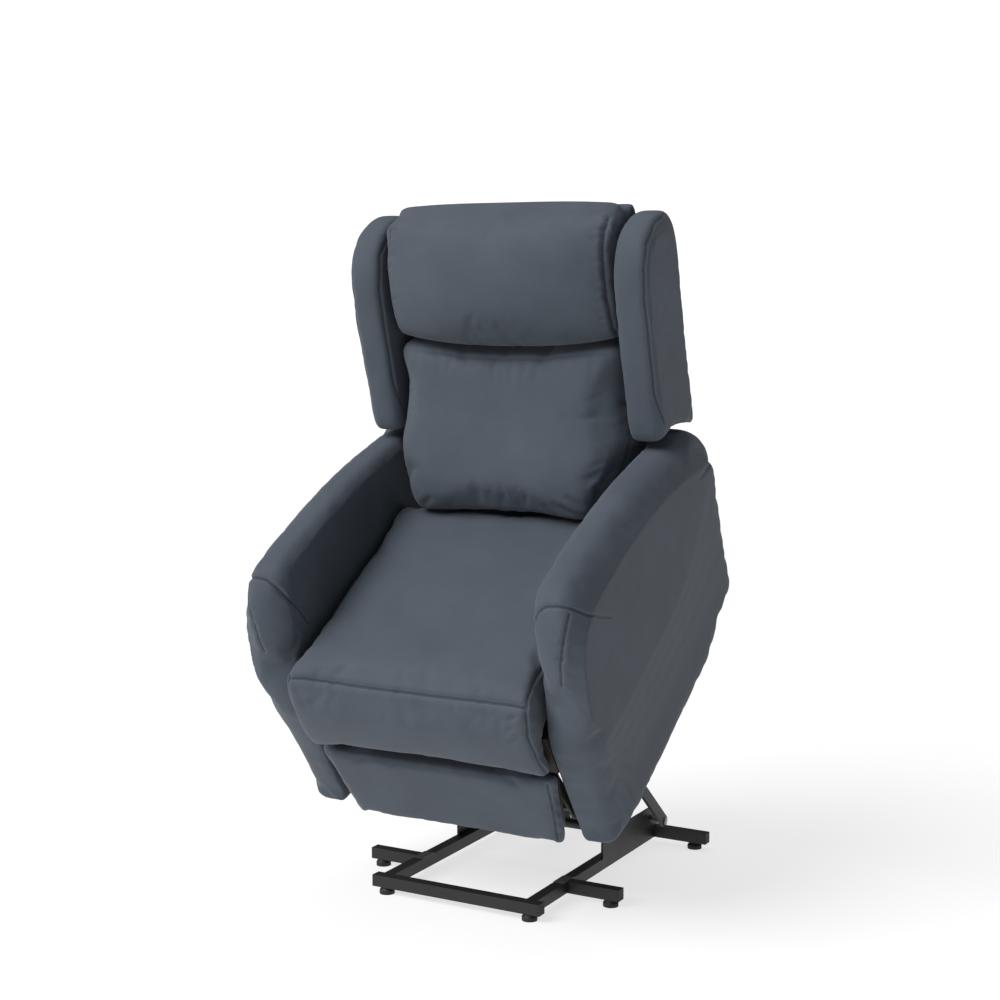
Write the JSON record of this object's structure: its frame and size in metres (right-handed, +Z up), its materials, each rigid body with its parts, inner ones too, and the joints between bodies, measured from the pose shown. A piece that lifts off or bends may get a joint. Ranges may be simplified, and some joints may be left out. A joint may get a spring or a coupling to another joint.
{
  "type": "lift recliner chair",
  "caption": "Winged armchair on a powered floor frame that raises and tilts it forward, with reclining back and extending footrest, shown raised.",
  "frame": {"origin": "on the floor, under the middle of the raised chair's overall box", "axes": "+Z up, the sitter faces -Y, +X is the sitter's left"},
  "size_m": [0.784, 0.8961, 1.4855],
  "materials": {
    "upholstery": "matt slate blue-grey woven upholstery cloth over foam",
    "frame_steel": "black powder coat",
    "plate_steel": "grey paint, satin",
    "zinc_steel": "bright zinc plate",
    "drive_tube_steel": "black satin paint",
    "black_plastic": "moulded black plastic",
    "drive_plastic": "fine-textured black moulding",
    "plywood": "bare birch plywood",
    "webbing": "elastic woven webbing"
  },
  "bodies": {
    "floor_frame": {"base_front_bar": "frame_steel", "base_rear_bar": "frame_steel", "base_rails": "frame_steel", "base_outriggers": "frame_steel", "base_joint_plates": "plate_steel", "tube_end_caps": "black_plastic", "levelling_feet": "black_plastic", "pivot_brackets": "frame_steel", "pivot_spacers_and_washers": "zinc_steel", "base_pins": "zinc_steel", "lift_drive_clevis": "frame_steel"},
    "front_link_pair": {"front_links": "frame_steel", "front_link_shaft": "frame_steel"},
    "rear_link_left": {"rear_link_left": "frame_steel"},
    "rear_link_right": {"rear_link_right": "frame_steel"},
    "chair_body": {"lift_plates": "frame_steel", "lift_cross_tubes": "frame_steel", "drive_hangers": "frame_steel", "chair_pins": "zinc_steel", "seat_side_rails": "plywood", "seat_end_rails": "plywood", "seat_springs": "zinc_steel", "seat_cushion": "upholstery", "arm_left": "upholstery", "arm_right": "upholstery", "arm_pad_left": "upholstery", "arm_pad_right": "upholstery", "arm_frames": "plywood", "arm_bolts": "zinc_steel", "hinge_plates": "frame_steel", "footrest_plates": "frame_steel", "control_box": "drive_plastic", "footrest_drive_housing": "drive_plastic", "footrest_drive_tube": "drive_tube_steel"},
    "lift_drive_body": {"lift_drive_housing": "drive_plastic", "lift_drive_tube": "drive_tube_steel"},
    "lift_drive_shaft": {"lift_drive_rod": "zinc_steel"},
    "backrest": {"hinge_arms": "frame_steel", "back_frame_tubes": "frame_steel", "back_webbing": "webbing", "recline_lever": "frame_steel", "back_shell": "upholstery", "back_cushion": "upholstery", "headrest_cushion": "upholstery", "wing_left": "upholstery", "wing_right": "upholstery", "wing_brackets": "frame_steel"},
    "recline_drive_body": {"recline_drive_housing": "drive_plastic", "recline_drive_tube": "drive_tube_steel"},
    "recline_drive_shaft": {"recline_drive_rod": "zinc_steel"},
    "footrest_crank_body": {"footrest_torque_tube": "frame_steel", "footrest_upper_links": "frame_steel", "footrest_crank": "frame_steel", "footrest_knee_pins": "zinc_steel"},
    "footrest_lower_body": {"footrest_lower_links": "frame_steel"},
    "footrest_panel_body": {"footrest_panel_pins": "zinc_steel", "footrest_panel_brackets": "frame_steel", "footrest_board": "plywood", "footrest_pad": "upholstery"},
    "footrest_drive_shaft": {"footrest_drive_rod": "zinc_steel"}
  },
  "joints": [
    {"name": "lift", "type": "hinge", "parent": "floor_frame", "child": "front_link_pair", "pos_m": [0, 0.169, 0.102], "axis": [1, 0, 0], "range_deg": [0, 50.34]},
    {"name": "front_link_to_chair", "type": "hinge", "parent": "front_link_pair", "child": "chair_body", "pos_m": [0, -0.01587, 0.32187], "axis": [1, 0, 0], "range_deg": [-83.35, 0]},
    {"name": "rear_link_left_pivot", "type": "hinge", "parent": "floor_frame", "child": "rear_link_left", "pos_m": [0, 0.404, 0.062], "axis": [1, 0, 0], "range_deg": [0, 39.82]},
    {"name": "rear_link_right_pivot", "type": "hinge", "parent": "floor_frame", "child": "rear_link_right", "pos_m": [0, 0.404, 0.062], "axis": [1, 0, 0], "range_deg": [0, 39.82]},
    {"name": "lift_drive_pivot", "type": "hinge", "parent": "floor_frame", "child": "lift_drive_body", "pos_m": [0, 0.431, 0.066], "axis": [1, 0, 0], "range_deg": [0, 4.65]},
    {"name": "lift_drive_stroke", "type": "slide", "parent": "lift_drive_body", "child": "lift_drive_shaft", "axis": [0, -0.9031, 0.4294], "range_m": [0, 0.06462]},
    {"name": "backrest_recline", "type": "hinge", "parent": "chair_body", "child": "backrest", "pos_m": [0, 0.19626, 0.7136], "axis": [1, 0, 0], "range_deg": [-42, 0]},
    {"name": "recline_drive_pivot", "type": "hinge", "parent": "chair_body", "child": "recline_drive_body", "pos_m": [0, -0.1049, 0.3511], "axis": [1, 0, 0], "range_deg": [0, 0.359]},
    {"name": "recline_drive_stroke", "type": "slide", "parent": "recline_drive_body", "child": "recline_drive_shaft", "axis": [0, 0.7792, 0.6268], "range_m": [-0.06956, 0]},
    {"name": "footrest_extend", "type": "hinge", "parent": "chair_body", "child": "footrest_crank_body", "pos_m": [0, -0.20408, 0.36061], "axis": [1, 0, 0], "range_deg": [-95, 0]},
    {"name": "footrest_knee", "type": "hinge", "parent": "footrest_crank_body", "child": "footrest_lower_body", "pos_m": [0, -0.11149, 0.21804], "axis": [1, 0, 0], "range_deg": [0, 144.26]},
    {"name": "footrest_panel_pivot", "type": "hinge", "parent": "footrest_lower_body", "child": "footrest_panel_body", "pos_m": [0, -0.2227, 0.33421], "axis": [1, 0, 0], "range_deg": [-134.26, 0]},
    {"name": "footrest_drive_stroke", "type": "slide", "parent": "chair_body", "child": "footrest_drive_shaft", "axis": [0, -0.8387, -0.5446], "range_m": [0, 0.05899]}
  ],
  "couplings": [
    {"joint": "front_link_to_chair", "follows": "lift", "ratio": -1.6555},
    {"joint": "rear_link_left_pivot", "follows": "lift", "ratio": 0.79086},
    {"joint": "rear_link_right_pivot", "follows": "lift", "ratio": 0.79086},
    {"joint": "lift_drive_pivot", "follows": "lift", "ratio": 0.092212},
    {"joint": "lift_drive_stroke", "follows": "lift", "m_per_rad": 0.073535},
    {"joint": "recline_drive_pivot", "follows": "backrest_recline", "ratio": -0.008309},
    {"joint": "recline_drive_stroke", "follows": "backrest_recline", "m_per_rad": 0.094885},
    {"joint": "footrest_knee", "follows": "footrest_extend", "ratio": -1.5184},
    {"joint": "footrest_panel_pivot", "follows": "footrest_extend", "ratio": 1.4131},
    {"joint": "footrest_drive_stroke", "follows": "footrest_extend", "m_per_rad": -0.035573}
  ]
}
